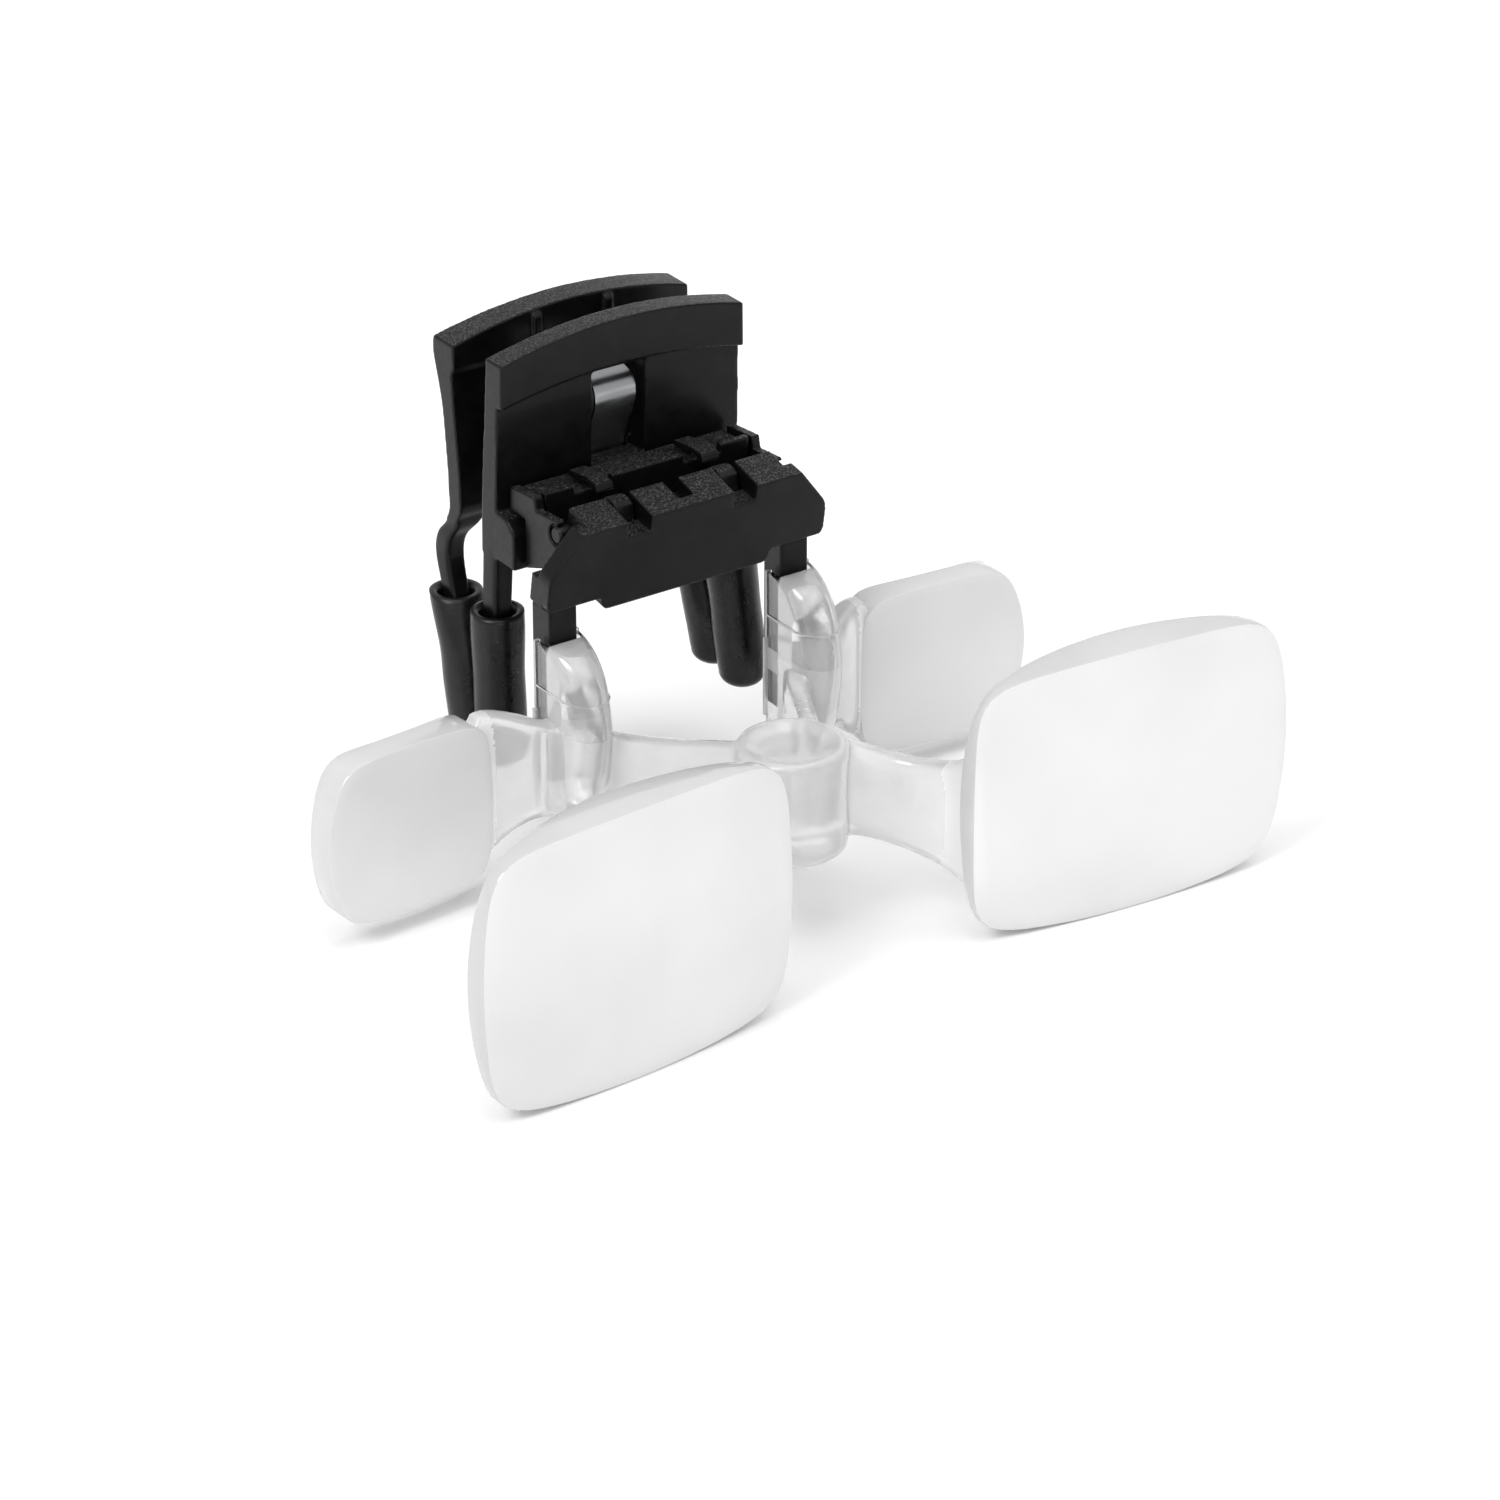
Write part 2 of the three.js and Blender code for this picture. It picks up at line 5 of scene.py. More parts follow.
import bmesh
import bpy
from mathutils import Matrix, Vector


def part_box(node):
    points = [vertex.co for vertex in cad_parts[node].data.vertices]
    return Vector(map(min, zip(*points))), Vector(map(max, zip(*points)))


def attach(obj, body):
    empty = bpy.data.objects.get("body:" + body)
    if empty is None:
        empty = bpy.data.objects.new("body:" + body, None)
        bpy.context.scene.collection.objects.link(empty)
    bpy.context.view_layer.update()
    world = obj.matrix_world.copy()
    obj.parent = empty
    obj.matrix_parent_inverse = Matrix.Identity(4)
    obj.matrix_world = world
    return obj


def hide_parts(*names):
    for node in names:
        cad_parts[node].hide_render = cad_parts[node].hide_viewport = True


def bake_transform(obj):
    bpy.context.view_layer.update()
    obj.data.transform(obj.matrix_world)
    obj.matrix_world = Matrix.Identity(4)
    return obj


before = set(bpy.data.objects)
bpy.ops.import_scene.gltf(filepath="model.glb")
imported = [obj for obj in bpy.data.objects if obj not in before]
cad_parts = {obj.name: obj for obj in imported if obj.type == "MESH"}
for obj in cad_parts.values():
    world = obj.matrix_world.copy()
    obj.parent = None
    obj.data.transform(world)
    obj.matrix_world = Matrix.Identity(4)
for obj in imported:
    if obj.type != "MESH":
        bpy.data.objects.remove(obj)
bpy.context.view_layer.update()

MM = 0.001

# The hub frame: millimetres, x = 0 on the mirror plane, the hub's axis at y = -13, its underside at z = 0.2.
hub_low, hub_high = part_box("centre_hub")
ORIGIN = Vector((0, (hub_low.y + hub_high.y) / 2 + 13 * MM, hub_low.z - 0.2 * MM))


def at(x, y, z):
    """A point of the hub frame, in the object's frame in metres."""
    return ORIGIN + Vector((x, y, z)) * MM


# ------------------------------------------------------------------ materials
def material(name, **values):
    made = bpy.data.materials.new(name)
    made.use_nodes = True
    shader = made.node_tree.nodes["Principled BSDF"]
    for socket, value in values.items():
        shader.inputs[socket.replace("_", " ")].default_value = value
    return made, made.node_tree, shader


def noise(tree, scale, detail=3.0, rough=0.5):
    """A noise texture that is fixed to the piece, so that it moves with it."""
    place = tree.nodes.new("ShaderNodeTexCoord")
    texture = tree.nodes.new("ShaderNodeTexNoise")
    texture.inputs["Scale"].default_value = scale
    texture.inputs["Detail"].default_value = detail
    texture.inputs["Roughness"].default_value = rough
    tree.links.new(place.outputs["Object"], texture.inputs["Vector"])
    return texture.outputs["Fac"]


def ramp(tree, source, low, high, start=0.35, end=0.65):
    """source, remapped from start..end to the colours low..high."""
    node = tree.nodes.new("ShaderNodeValToRGB")
    node.color_ramp.elements[0].position = start
    node.color_ramp.elements[1].position = end
    node.color_ramp.elements[0].color = (*low, 1) if len(low) == 3 else low
    node.color_ramp.elements[1].color = (*high, 1) if len(high) == 3 else high
    tree.links.new(source, node.inputs["Fac"])
    return node.outputs["Color"]


def bump(tree, shader, height, distance, strength=1.0, under=None):
    node = tree.nodes.new("ShaderNodeBump")
    node.inputs["Strength"].default_value = strength
    node.inputs["Distance"].default_value = distance
    tree.links.new(height, node.inputs["Height"])
    if under is not None:
        tree.links.new(under, node.inputs["Normal"])
    tree.links.new(node.outputs["Normal"], shader.inputs["Normal"])
    return node.outputs["Normal"]


def acrylic(name, tone, transmission, roughness, cloud, wave, coat=0.6, drift=90.0):
    """Clear plastic with some milkiness: cloud is how far its tone drifts, wave the height of its surface swell."""
    made, tree, shader = material(
        name, Roughness=roughness, IOR=1.49, Transmission_Weight=transmission, Coat_Weight=coat, Coat_Roughness=0.04)
    shade = ramp(tree, noise(tree, drift), (tone - cloud,) * 3, (tone,) * 3)
    tree.links.new(shade, shader.inputs["Base Color"])
    bump(tree, shader, noise(tree, 260.0, 2.0), wave)
    return made


def clear_towards_back(made, start, end):
    """From start to end, in y of the hub frame, the plastic turns glass clear, so that what it guides shows."""
    tree = made.node_tree
    shader = tree.nodes["Principled BSDF"]
    place = tree.nodes.new("ShaderNodeTexCoord")
    split = tree.nodes.new("ShaderNodeSeparateXYZ")
    tree.links.new(place.outputs["Object"], split.inputs["Vector"])
    for socket, clear in (("Transmission Weight", 1.0), ("Roughness", 0.03)):
        fade = tree.nodes.new("ShaderNodeMapRange")
        fade.inputs["From Min"].default_value = at(0, start, 0).y
        fade.inputs["From Max"].default_value = at(0, end, 0).y
        fade.inputs["To Min"].default_value = shader.inputs[socket].default_value
        fade.inputs["To Max"].default_value = clear
        tree.links.new(split.outputs["Y"], fade.inputs["Value"])
        tree.links.new(fade.outputs["Result"], shader.inputs[socket])


def black_plastic():
    """Satin black moulding: fine grain on the walls, a coarser grain on faces that look up, dotted there with light
    grey specks of painted highlight.
    """
    made, tree, shader = material("black_plastic", IOR=1.5, Specular_IOR_Level=0.14, Coat_Weight=0.15, Coat_Roughness=0.2)
    base = ramp(tree, noise(tree, 420.0), (0.0025, 0.0025, 0.0027), (0.0045, 0.0045, 0.0048))
    tree.links.new(ramp(tree, noise(tree, 1500.0), (0.28,) * 3, (0.40,) * 3), shader.inputs["Roughness"])
    fine = bump(tree, shader, noise(tree, 7000.0, 2.0), 0.000012)
    facing = tree.nodes.new("ShaderNodeTexCoord")
    split = tree.nodes.new("ShaderNodeSeparateXYZ")
    tree.links.new(facing.outputs["Normal"], split.inputs["Vector"])
    upward = ramp(tree, split.outputs["Z"], (0, 0, 0), (1, 1, 1), 0.80, 0.93)
    grain = tree.nodes.new("ShaderNodeMath")
    grain.operation = "MULTIPLY"
    tree.links.new(noise(tree, 4800.0, 3.0, 0.7), grain.inputs[0])
    tree.links.new(upward, grain.inputs[1])
    bump(tree, shader, grain.outputs["Value"], 0.0003, under=fine)
    # Painted highlight: light grey specks on the upward grain stand in for glints of the lamps on the top faces.
    painted_glint_specks = tree.nodes.new("ShaderNodeMix")
    painted_glint_specks.data_type = "RGBA"
    painted_glint_specks.inputs["B"].default_value = (0.13, 0.13, 0.13, 1)
    tree.links.new(ramp(tree, grain.outputs["Value"], (0, 0, 0), (1, 1, 1), 0.50, 0.68), painted_glint_specks.inputs["Factor"])
    tree.links.new(base, painted_glint_specks.inputs["A"])
    tree.links.new(painted_glint_specks.outputs["Result"], shader.inputs["Base Color"])
    return made


def rubber():
    made, tree, shader = material("rubber_sleeve", IOR=1.52, Specular_IOR_Level=0.35)
    base = ramp(tree, noise(tree, 500.0), (0.004, 0.004, 0.0042), (0.007, 0.007, 0.0074))
    tree.links.new(base, shader.inputs["Base Color"])
    tree.links.new(ramp(tree, noise(tree, 700.0), (0.24,) * 3, (0.36,) * 3), shader.inputs["Roughness"])
    bump(tree, shader, noise(tree, 1800.0, 2.0), 0.000003)
    return made


def steel(name, colour, roughness):
    """Rolled metal: fine grain drawn out along the width of the strip."""
    made, tree, shader = material(name, Metallic=1.0, Base_Color=(*colour, 1))
    stretch = tree.nodes.new("ShaderNodeMapping")
    stretch.inputs["Scale"].default_value = (400, 9000, 400)
    place = tree.nodes.new("ShaderNodeTexCoord")
    grain = tree.nodes.new("ShaderNodeTexNoise")
    grain.inputs["Scale"].default_value = 1.0
    tree.links.new(place.outputs["Object"], stretch.inputs["Vector"])
    tree.links.new(stretch.outputs["Vector"], grain.inputs["Vector"])
    spread = ramp(tree, grain.outputs["Fac"], (roughness - 0.06,) * 3, (roughness + 0.08,) * 3)
    tree.links.new(spread, shader.inputs["Roughness"])
    bump(tree, shader, grain.outputs["Fac"], 0.000004)
    return made


LENS = acrylic("lens_acrylic", 0.86, 0.14, 0.22, 0.10, 0.00001, 0.5, 34.0)
RIM = acrylic("rim_acrylic", 0.91, 0.40, 0.16, 0.07, 0.00004, 0.6, 60.0)
MOULDING = acrylic("moulding_acrylic", 0.95, 0.60, 0.18, 0.08, 0.00015, 0.6, 160.0)
POST = acrylic("post_acrylic", 0.97, 0.72, 0.13, 0.10, 0.00012, 0.8, 260.0)
clear_towards_back(POST, 5.6, 5.9)
BLACK = black_plastic()
RUBBER = rubber()
STEEL = steel("spring_steel", (0.36, 0.37, 0.38), 0.34)
BURNISHED = steel("burnished_steel", (0.03, 0.03, 0.032), 0.4)


# --------------------------------------------------------------- mesh helpers
def new_piece(name, points, faces):
    """A mesh from points of the hub frame, with its faces turned outwards."""
    mesh = bpy.data.meshes.new(name)
    mesh.from_pydata([at(*point) for point in points], [], faces)
    work = bmesh.new()
    work.from_mesh(mesh)
    bmesh.ops.recalc_face_normals(work, faces=work.faces)
    work.to_mesh(mesh)
    work.free()
    made = bpy.data.objects.new(name, mesh)
    bpy.context.scene.collection.objects.link(made)
    return made


def loft(name, rings):
    """A closed skin over rings that all have the same number of points."""
    count = len(rings[0])
    faces = [list(range(count)), list(range((len(rings) - 1) * count, len(rings) * count))]
    for i in range(len(rings) - 1):
        for j in range(count):
            k = (j + 1) % count
            faces.append([i * count + j, i * count + k, (i + 1) * count + k, (i + 1) * count + j])
    return new_piece(name, [point for ring in rings for point in ring], faces)


def catmull(rows, steps):
    """Rows of numbers, made denser along a Catmull-Rom curve through them."""
    dense = []
    for i in range(len(rows) - 1):
        before, start, end, after = (rows[max(0, min(len(rows) - 1, i + k))] for k in (-1, 0, 1, 2))
        for step in range(steps):
            t = step / steps
            dense.append([
                0.5 * (2 * b + (c - a) * t + (2 * a - 5 * b + 4 * c - d) * t * t + (3 * b - 3 * c + d - a) * t ** 3)
                for a, b, c, d in zip(before, start, end, after)])
    return dense + [list(rows[-1])]


def superellipse(half_width, half_height, power, count):
    outline = []
    for i in range(count):
        angle = 2 * math.pi * i / count
        c, s = math.cos(angle), math.sin(angle)
        outline.append((
            math.copysign(abs(c) ** (2 / power), c) * half_width,
            math.copysign(abs(s) ** (2 / power), s) * half_height))
    return outline


def settled(piece):
    """The piece with its modifiers made permanent."""
    graph = bpy.context.evaluated_depsgraph_get()
    mesh = bpy.data.meshes.new_from_object(piece.evaluated_get(graph))
    piece.modifiers.clear()
    piece.data = mesh
    return piece


def combine(piece, other, operation):
    """piece joined with, or cut by, other, which is used up."""
    boolean = piece.modifiers.new("combine", "BOOLEAN")
    boolean.operation = operation
    boolean.solver = "MANIFOLD"
    boolean.object = other
    settled(piece)
    bpy.data.objects.remove(other)
    return piece


def mirror_rows(rows):
    return [[-row[0], *row[1:]] for row in rows]


def smooth_shaded(piece, angle=35):
    piece.data.shade_smooth()
    piece.data.set_sharp_from_angle(angle=math.radians(angle))
    return piece


# ------------------------------------------------------------- the lens unit
FRONT_LENS = {
    "centre": (28.7, -29.9, 6.4), "half": (18.2, 14.2), "bow": (2.0, 0.9, 1.1), "turn": 4.6,
    "front": lambda r: -1.4 + 120 - math.sqrt(120 ** 2 - r * r),
    "rear": lambda r: 6.6 - 44 + math.sqrt(44 ** 2 - r * r),
}
REAR_LENS = {
    "centre": (31.8, 5.3, 3.5), "half": (9.9, 9.05), "bow": (2.6, 0.9, 0.7), "turn": 4.6,
    "front": lambda r: 0.25 * (r / 9.9) ** 2,
    "rear": lambda r: 1.6 + 26.7 - math.sqrt(26.7 ** 2 - r * r),
}


def barrel(half_width, half_height, bow, count=96, power=9.0):
    """A rounded rectangle whose outer, inner and level edges bow outwards by the three amounts in bow."""
    outer, inner, level = bow
    outline = []
    for i in range(count):
        angle = 2 * math.pi * i / count
        c, s = half_width * math.cos(angle), half_height * math.sin(angle)
        short, long = 0.3, 1.5
        for _ in range(40):
            reach = (short + long) / 2
            u, v = reach * c, reach * s
            width = half_width - (outer if u > 0 else inner) * (v / half_height) ** 2
            height = half_height - level * (u / half_width) ** 2
            if abs(u / width) ** power + abs(v / height) ** power > 1:
                long = reach
            else:
                short = reach
        outline.append((reach * c, reach * s))
    return outline


def lens(name, spec, side, shrink=0.0):
    """A thick lens with an eased rim, turned inwards a little towards its partner."""
    half_width, half_height = (half - shrink for half in spec["half"])
    ease = 0.22
    spans = [0.02, 0.12, 0.25, 0.4, 0.55, 0.7, 0.82, 0.92, 1.0]

    def ring(inset, share, surface, lift):
        outline = barrel(half_width - inset, half_height - inset, spec["bow"])
        return [(u * share, surface(math.hypot(u * share, v * share)) + lift, v * share) for u, v in outline]

    rings = [ring(ease, share, spec["front"], shrink) for share in spans]
    rings += [ring(0.3 * ease, 1, spec["front"], 0.3 * ease + shrink), ring(0, 1, spec["front"], ease + shrink)]
    rings += [ring(0, 1, spec["rear"], -ease - shrink), ring(0.3 * ease, 1, spec["rear"], -0.3 * ease - shrink)]
    rings += [ring(ease, share, spec["rear"], -shrink) for share in reversed(spans)]
    turn = math.radians(-spec["turn"])
    x, y, z = spec["centre"]
    placed = []
    for row in rings:
        placed.append([(
            side * (x + u * math.cos(turn) - d * math.sin(turn)), y + u * math.sin(turn) + d * math.cos(turn), z + v)
            for u, d, v in row])
    return loft(name, placed)


def wall(name, stations):
    """An upright wall with rounded edges along stations x, y, half thickness, z low, z high."""
    dense = catmull(stations, 6)
    rings = []
    for i, (x, y, half, low, high) in enumerate(dense):
        before, after = dense[max(i - 1, 0)], dense[min(i + 1, len(dense) - 1)]
        along = Vector((after[0] - before[0], after[1] - before[1])).normalized()
        section = superellipse(half, (high - low) / 2, 4.5, 24)
        rings.append([(x + along.y * u, y - along.x * u, (low + high) / 2 + v) for u, v in section])
    return loft(name, rings)


def hub():
    """A short drum with a dished top and a soft rim."""
    profile = [
        (0.01, -0.5), (3.9, -0.5), (4.1, -0.3), (4.2, 0.2), (4.9, 0.25), (5.35, 0.4), (5.6, 0.9), (5.45, 3), (5.35, 6), (5.45, 9), (5.6, 10.9),
        (5.45, 11.4), (5.0, 11.6), (4.4, 11.4), (3.2, 11.0), (0.01, 10.8)]
    rings = []
    for radius, z in profile:
        rings.append([
            (radius * math.cos(2 * math.pi * i / 64), -13 + radius * math.sin(2 * math.pi * i / 64), z)
            for i in range(64)])
    return loft("hub", rings)


FRONT_ARM = [
    [2.6, -12.6, 2.0, 0.6, 10.8], [4.8, -13.8, 1.9, 0.6, 10.9], [7.0, -15.6, 1.5, 0.4, 10.2], [9.7, -18.9, 1.3, -0.4, 9.6],
    [11.5, -22.8, 1.3, -1.2, 10.2], [12.2, -25.2, 1.5, -2.0, 11.6], [12.7, -26.6, 1.8, -2.6, 13.0]]
REAR_ARM = [
    [2.0, -12.4, 1.8, 0.6, 10.8], [3.4, -10.8, 1.6, 0.8, 11.2], [5.2, -8.2, 1.3, 0.8, 11.0], [7.8, -3.6, 1.3, 1.2, 10.0],
    [10.4, 1.0, 1.4, 1.2, 9.4], [12.6, 4.0, 1.5, 1.2, 9.4]]
LENS_BRIDGE = [
    [13.6, 2.8, 1.6, 1.4, 10.2], [17.2, 5.4, 1.6, 0.6, 10.9], [19.6, 7.1, 1.7, -1.0, 11.7], [21.6, 8.0, 1.7, -2.8, 12.2],
    [23.2, 8.2, 1.4, -3.4, 12.2]]


def skeleton():
    """Hub, arms and bridges melted into one body with moulded fillets."""
    parts = [hub()]
    for stations in (FRONT_ARM, REAR_ARM, LENS_BRIDGE):
        parts += [wall("wall", stations), wall("wall", mirror_rows(stations))]
    for side in (-1, 1):
        parts += [lens("core", FRONT_LENS, side, 0.2), lens("core", REAR_LENS, side, 0.2), post_body(side, -0.2)]
    body = parts[0]
    with bpy.context.temp_override(active_object=body, selected_editable_objects=parts):
        bpy.ops.object.join()
    remesh = body.modifiers.new("melt", "REMESH")
    remesh.mode = "VOXEL"
    remesh.voxel_size = 0.00024
    smooth = body.modifiers.new("fillet", "SMOOTH")
    smooth.factor = 0.5
    smooth.iterations = 22
    return settled(body)


POST_X = 13.7
POST_HALF = 2.4
POST_BACK = 7.7
POST_NOSE = [
    (0.6, 1.4), (3, 0.5), (6, -0.2), (9.5, -0.6), (12, -0.4), (14.2, 0.1), (15.8, 0.8), (17, 1.7), (17.8, 2.7), (18.2, 3.5),
    (18.4, 4.3)]


def nose_section(grow, front, half):
    """The level section of a post: a rounded nose and two straight sides."""
    section = []
    for i in range(25):
        angle = math.pi * i / 24
        section.append((-(half + grow) * math.cos(angle), front - grow + 3.2 * (1 - math.sin(angle) ** 0.9)))
    return section + [(half + grow, POST_BACK), (-half - grow, POST_BACK)]


def post_body(side, grow=0.0):
    x = side * POST_X
    rings = [[(x + u, v, z) for u, v in nose_section(grow, front, POST_HALF)] for z, front in catmull(POST_NOSE, 4)]
    return loft("post", rings)


def post(side):
    """A clear upright with a rounded nose, a collar rib and two thin lips along its open back."""
    x = side * POST_X
    body = post_body(side)
    rib = loft("rib", [[(x + u, v, z) for u, v in nose_section(grow, 0.1, POST_HALF)]
                       for z, grow in ((13.5, -0.3), (13.62, 0.1), (13.75, 0.16), (13.88, 0.1), (14.0, -0.3))])
    combine(body, rib, "UNION")
    for edge in (-1, 1):
        for low, high, reach in ((2.6, 11.2, 0.38), (11.0, 18.6, 0.14)):
            inner = x + edge * (POST_HALF - 0.45)
            outer = x + edge * (POST_HALF + reach)
            lip = [(inner, POST_BACK - 0.3), (outer, POST_BACK - 0.3), (outer, POST_BACK + 0.05), (inner, POST_BACK + 0.05)]
            combine(body, loft("lip", [[(u, v, z) for u, v in lip] for z in (low, high)]), "UNION")
    return body


def channel(side):
    """The open slot at the back of a post, where the carrier's arm slides."""
    low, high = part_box("carrier_arm_right")
    half = (high.x - low.x) / 2 / MM + 0.3
    front = (low.y - ORIGIN.y) / MM - 0.3
    x = side * POST_X
    outline = [(x - half, front), (x + half, front), (x + half, 12), (x - half, 12)]
    return loft("channel", [[(u, v, z) for u, v in outline] for z in (-3, 22)])


def paint_lens_unit(unit):
    """Lens faces, lens rims, posts and the rest of the moulding each get their own clear plastic."""
    unit.data.materials.clear()
    for made in (MOULDING, LENS, POST, RIM):
        unit.data.materials.append(made)
    rooms = []
    for name, index in (("front_lens", 1), ("rear_lens", 1), ("post", 2)):
        for hand in ("left", "right"):
            low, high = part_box(f"{name}_{hand}")
            rooms.append((low - Vector((0.1, 0.1, 0.1)) * MM, high + Vector((0.1, 0.1, 0.1)) * MM, index))
    foot = at(0, 0, 10.4).z
    for face in unit.data.polygons:
        face.material_index = 0
        for low, high, index in rooms:
            if all(low[k] <= face.center[k] <= high[k] for k in range(3)):
                if index == 2:
                    back_wall = abs(face.normal.x) > 0.9 and face.center.y > at(0, 5.0, 0).y
                    face.material_index = 2 if face.center.z > foot or back_wall else 0
                else:
                    face.material_index = 1 if abs(face.normal.y) > 0.75 else 3


def lens_unit():
    unit = skeleton()
    unit.name = "lens_unit"
    for side in (-1, 1):
        combine(unit, lens("front", FRONT_LENS, side), "UNION")
        combine(unit, lens("rear", REAR_LENS, side), "UNION")
        combine(unit, post(side), "UNION")
        combine(unit, channel(side), "DIFFERENCE")
    paint_lens_unit(unit)
    smooth_shaded(unit, 32)
    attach(unit, "optics")
    nodes = ["centre_hub"]
    for name in ("front_lens", "rear_lens", "front_arm", "rear_arm", "post", "lens_bridge"):
        nodes += [f"{name}_left", f"{name}_right"]
    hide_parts(*nodes)


# --------------------------------------------------------- moulded black parts
def copy_of(node):
    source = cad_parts[node]
    made = bpy.data.objects.new(node + "_copy", source.data.copy())
    made.matrix_world = source.matrix_world
    made.data.materials.clear()
    bpy.context.scene.collection.objects.link(made)
    return made


def moulded(name, body, nodes, extras=(), voxel=0.14, rounds=4):
    """One moulding made from CAD nodes and extra pieces, with every edge and inner corner softened."""
    parts = [copy_of(node) for node in nodes if node not in REDRAWN] + list(extras)
    piece = parts[0]
    with bpy.context.temp_override(active_object=piece, selected_editable_objects=parts):
        bpy.ops.object.join()
    piece.name = name
    remesh = piece.modifiers.new("melt", "REMESH")
    remesh.mode = "VOXEL"
    remesh.voxel_size = voxel * MM
    smooth = piece.modifiers.new("soften", "SMOOTH")
    smooth.factor = 0.5
    smooth.iterations = rounds
    settled(piece)
    piece.data.materials.clear()
    piece.data.materials.append(BLACK)
    piece.data.shade_smooth()
    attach(piece, body)
    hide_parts(*nodes)


# Stations x, y, z, width, depth of the legs, from inside the jaw down into the sleeve.
FRONT_LEG = [
    [13.2, 18.5, 26.0, 2.2, 2.6], [13.3, 18.6, 22.6, 2.3, 2.6], [13.8, 18.2, 16.9, 2.2, 2.5],
    [14.1, 17.7, 12.5, 2.1, 2.4]]
REAR_LEG = [
    [11.9, 26.0, 24.6, 4.0, 2.0], [12.4, 26.6, 23.0, 3.0, 2.3], [13.0, 27.7, 21.4, 2.3, 2.5],
    [13.2, 27.9, 19.2, 2.2, 2.5], [13.7, 26.2, 16.2, 2.1, 2.4], [14.0, 24.7, 13.0, 2.1, 2.4]]
REDRAWN = {"front_leg_left", "front_leg_right", "rear_leg_left", "rear_leg_right"}


def leg(stations, side):
    """A square bar, rounded at its corners, along one side."""
    rings = []
    for x, y, z, width, depth in catmull(stations, 6):
        rings.append([(side * x + u, y + v, z) for u, v in superellipse(width / 2, depth / 2, 6, 24)])
    return loft("leg", rings)


def rib(x):
    """An upright rib on the rear jaw's inner face."""
    outline = [(24.5, 29.0), (24.75, 43.6), (25.0, 44.0), (26.6, 44.0), (26.2, 29.0)]
    return loft("rib", [[(x + u, y, z) for y, z in outline] for u in (-0.45, 0.45)])


def black_parts():
    moulded("front_frame", "clip", ["front_jaw", "front_leg_left", "front_leg_right"],
            [leg(FRONT_LEG, -1), leg(FRONT_LEG, 1)], rounds=7)
    moulded("rear_frame", "rear_clip", ["rear_jaw", "rear_leg_left", "rear_leg_right"],
            [leg(REAR_LEG, -1), leg(REAR_LEG, 1), rib(-4.2), rib(4.2)], rounds=7)
    moulded("bracket", "clip", ["hinge_bracket", "hinge_ear_left", "hinge_ear_right",
                                "detent_finger_left", "detent_finger_right"], voxel=0.11, rounds=5)
    moulded("carrier", "carrier", ["carrier_plate", "hinge_barrel_left", "hinge_barrel_right"], voxel=0.11, rounds=6)
    for hand in ("left", "right"):
        moulded(f"arm_{hand}", "carrier", [f"carrier_arm_{hand}"])


# -------------------------------------------------------------------- sleeves
def levels(node):
    """Centre and radius of a sleeve at each of its levels, read from the CAD node, top first."""
    found = {}
    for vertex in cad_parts[node].data.vertices:
        found.setdefault(round(vertex.co.z * 1e5), set()).add(tuple(round(value, 7) for value in vertex.co))
    rows = []
    for key in sorted(found, reverse=True):
        points = [Vector(point) for point in found[key]]
        if len(points) < 12:
            continue
        centre = sum(points, Vector()) / len(points)
        local = (centre - ORIGIN) / MM
        rows.append([local.x, local.y, local.z, max((point - centre).length for point in points) / MM])
    return rows


def sleeve(node, body):
    """Soft tubing pushed over a leg: rolled mouth, slight swell, closed round tip."""
    rows = catmull(levels(node), 8)
    sides = 48
    rings = []

    def ring(x, y, z, radius):
        return [(x + radius * math.cos(2 * math.pi * i / sides), y + radius * math.sin(2 * math.pi * i / sides), z)
                for i in range(sides)]

    x, y, z, radius = rows[0]
    for depth, wall_share in ((2.2, 0.60), (0.8, 0.62), (0.15, 0.68), (-0.12, 0.80), (-0.08, 0.93)):
        rings.append(ring(x, y, z - depth, radius * wall_share))
    for i, (x, y, z, radius) in enumerate(rows[:-8]):
        rings.append(ring(x, y, z, radius * (1.0 + 0.02 * math.sin(i * 0.5))))
    x, y, z, radius = rows[-9]
    tip_x, tip_y, tip_z, _ = rows[-1]
    for step in range(1, 9):
        angle = math.pi / 2 * step / 8
        share = math.sin(angle)
        rings.append(ring(
            x + (tip_x - x) * share, y + (tip_y - y) * share, z + (tip_z - z) * share,
            max(radius * math.cos(angle) ** 0.75, 0.05)))
    made = loft(node + "_tube", rings)
    made.data.materials.append(RUBBER)
    smooth_shaded(made, 60)
    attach(made, body)
    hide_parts(node)


# ------------------------------------------------------------ spring and pins
SPRING_LINE = [
    (21.0, 39.1), (19.6, 38.8), (18.4, 38.4), (17.85, 37.9), (17.65, 37.1), (17.8, 35.8), (19.2, 32.6), (20.1, 30.0),
    (20.2, 27.4), (20.7, 25.6), (22.0, 24.8), (23.3, 25.6), (23.8, 27.6), (23.5, 31.0), (23.6, 34.0), (24.0, 36.2)]


def spring():
    """One bent strip of steel: rolled ends against both jaws, folded round under the pivot."""
    line = catmull(SPRING_LINE, 6)
    half_width, half_thick = 2.4, 0.2
    rings = []
    for i, (y, z) in enumerate(line):
        before, after = line[max(i - 1, 0)], line[min(i + 1, len(line) - 1)]
        along = Vector((after[0] - before[0], after[1] - before[1])).normalized()
        across = (-along.y * half_thick, along.x * half_thick)
        ring = []
        for u, v in superellipse(half_width, 1.0, 8, 20):
            ring.append((u, y + across[0] * v, z + across[1] * v))
        rings.append(ring)
    made = loft("grip_spring", rings)
    made.data.materials.append(STEEL)
    smooth_shaded(made, 50)
    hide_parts("grip_spring_front_leaf", "grip_spring_rear_leaf")
    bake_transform(made)


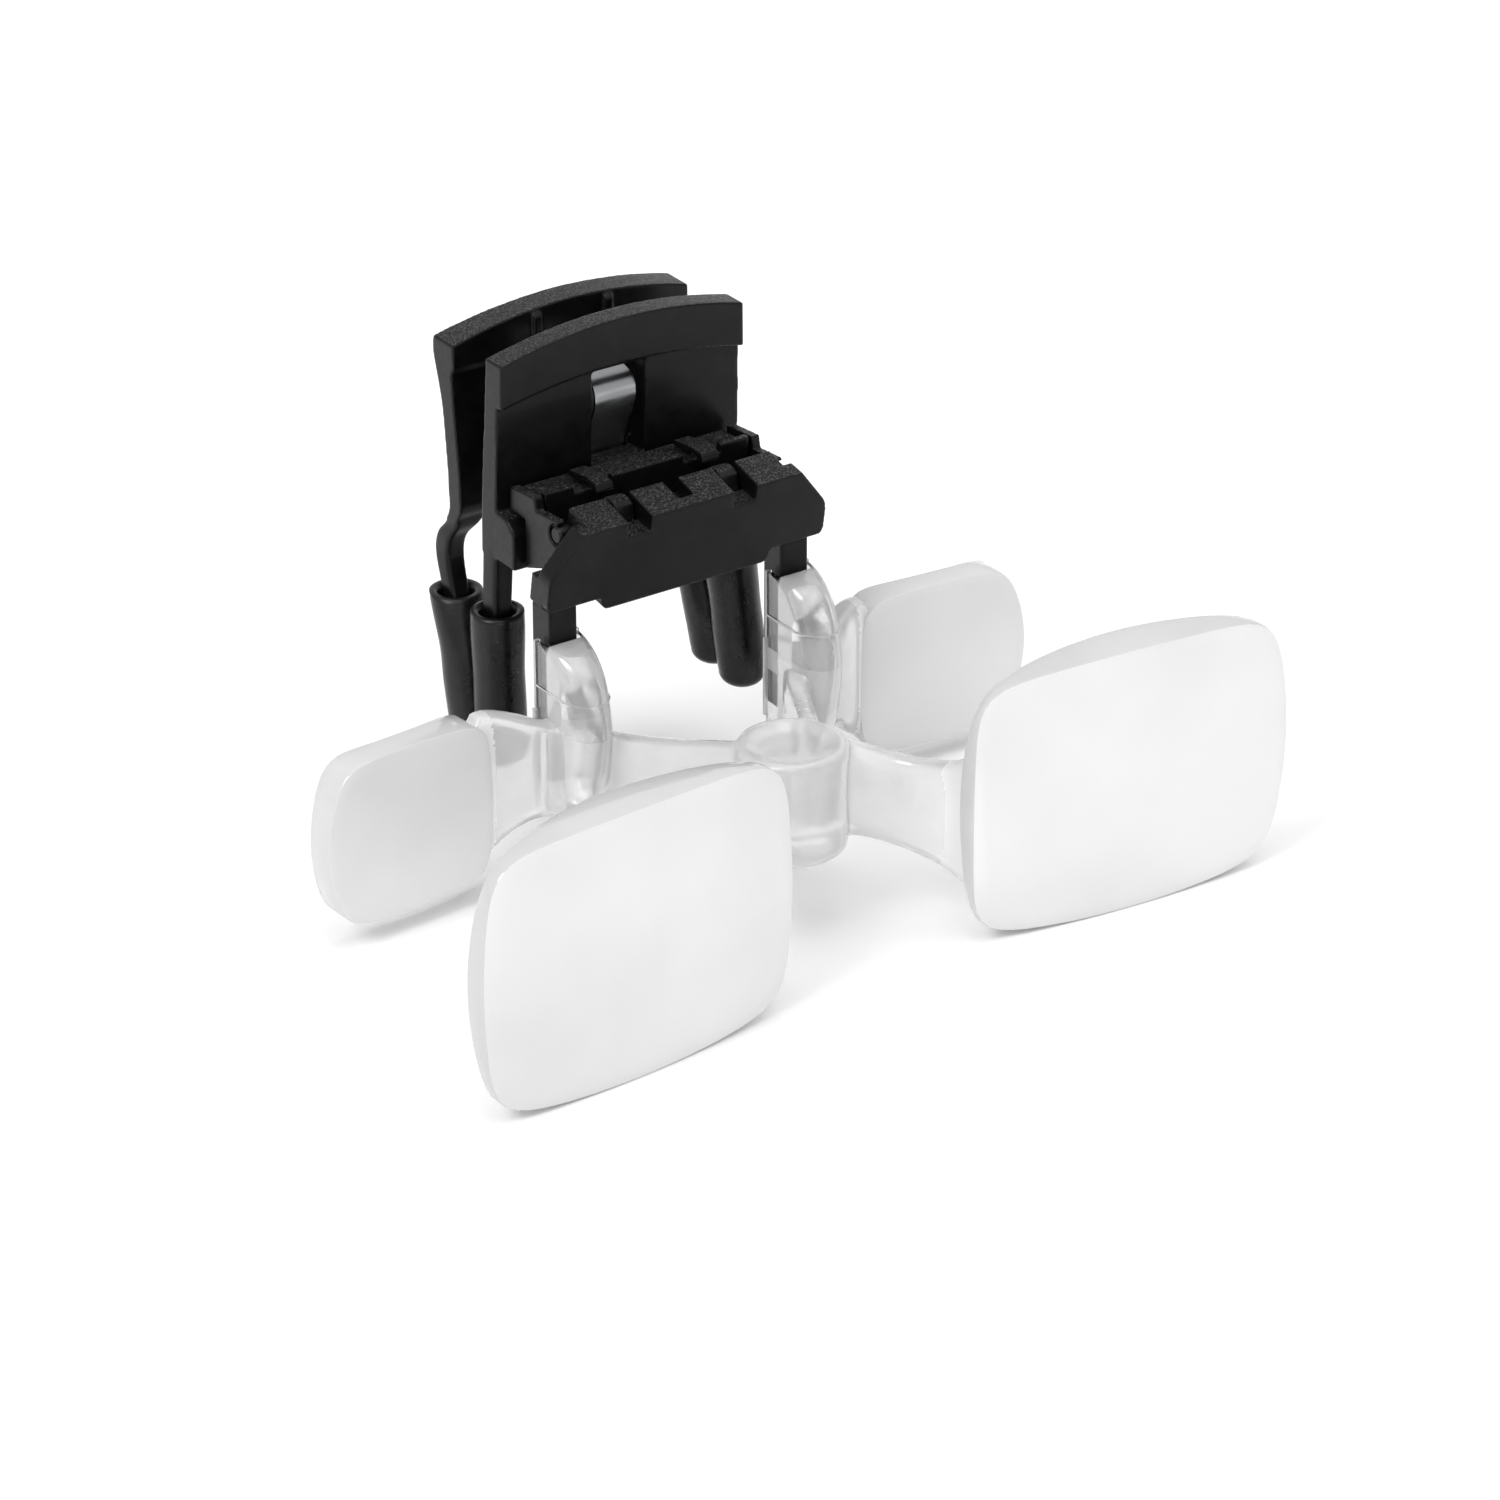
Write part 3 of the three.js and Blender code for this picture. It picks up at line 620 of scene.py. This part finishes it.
def pin(node, body, metal):
    """A turned pin with chamfered ends, where the CAD node says."""
    low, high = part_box(node)
    low, high = (low - ORIGIN) / MM, (high - ORIGIN) / MM
    y, z, radius = (low.y + high.y) / 2, (low.z + high.z) / 2, (high.z - low.z) / 2
    rings = []
    for x, r in ((low.x, radius - 0.2), (low.x + 0.2, radius), (high.x - 0.2, radius), (high.x, radius - 0.2)):
        rings.append([
            (x, y + r * math.cos(2 * math.pi * i / 40), z + r * math.sin(2 * math.pi * i / 40)) for i in range(40)])
    made = loft(node + "_turned", rings)
    made.data.materials.append(metal)
    smooth_shaded(made, 30)
    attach(made, body)
    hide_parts(node)


# ---------------------------------------------------------- stage and camera
def stage():
    mesh = bpy.data.meshes.new("floor")
    size = 4.0
    mesh.from_pydata([(-size, -size, 0), (size, -size, 0), (size, size, 0), (-size, size, 0)], [], [(0, 1, 2, 3)])
    floor = bpy.data.objects.new("floor", mesh)
    bpy.context.scene.collection.objects.link(floor)
    paint, tree, shader = material("floor_paint", Roughness=0.9, Specular_IOR_Level=0.1)
    tree.links.new(ramp(tree, noise(tree, 3.0), (0.94, 0.94, 0.94), (0.95, 0.95, 0.95)), shader.inputs["Base Color"])
    floor.data.materials.append(paint)


def light(name, azimuth, elevation, spread, strength):
    """A broad far light, given by where it stands and how many degrees of sky it fills."""
    a, e = math.radians(azimuth), math.radians(elevation)
    away = Vector((math.sin(a) * math.cos(e), -math.cos(a) * math.cos(e), math.sin(e)))
    data = bpy.data.lights.new(name, "SUN")
    data.angle = math.radians(spread)
    data.energy = strength
    made = bpy.data.objects.new(name, data)
    made.rotation_euler = (-away).to_track_quat("-Z", "Y").to_euler()
    bpy.context.scene.collection.objects.link(made)


def lighting():
    world = bpy.data.worlds.new("studio")
    world.use_nodes = True
    world.node_tree.nodes["Background"].inputs["Color"].default_value = (1, 1, 1, 1)
    world.node_tree.nodes["Background"].inputs["Strength"].default_value = 0.72
    bpy.context.scene.world = world
    light("key", -80, 48, 24, 1.1)
    light("top", 30, 78, 60, 1.0)
    light("fill", -15, 15, 40, 0.2)


def camera():
    """A long lens, looking down at the lens unit from the front left."""
    a, e = math.radians(-34.5), math.radians(27.5)
    away = Vector((math.sin(a) * math.cos(e), -math.cos(a) * math.cos(e), math.sin(e)))
    data = bpy.data.cameras.new("camera")
    data.lens = 141.6
    data.sensor_width = 36
    data.clip_start = 0.01
    made = bpy.data.objects.new("camera", data)
    made.location = at(3.907, -0.184, 3.961) + away * 0.5852
    made.rotation_euler = (-away).to_track_quat("-Z", "Y").to_euler()
    bpy.context.scene.collection.objects.link(made)
    bpy.context.scene.camera = made
    bpy.context.scene.view_settings.view_transform = "Standard"


camera()
lens_unit()
black_parts()
for hand in ("left", "right"):
    sleeve(f"front_sleeve_{hand}", "clip")
    sleeve(f"rear_sleeve_{hand}", "rear_clip")
spring()
pin("hinge_pin", "clip", BURNISHED)
pin("jaw_pivot_pin", "clip", STEEL)
stage()
lighting()
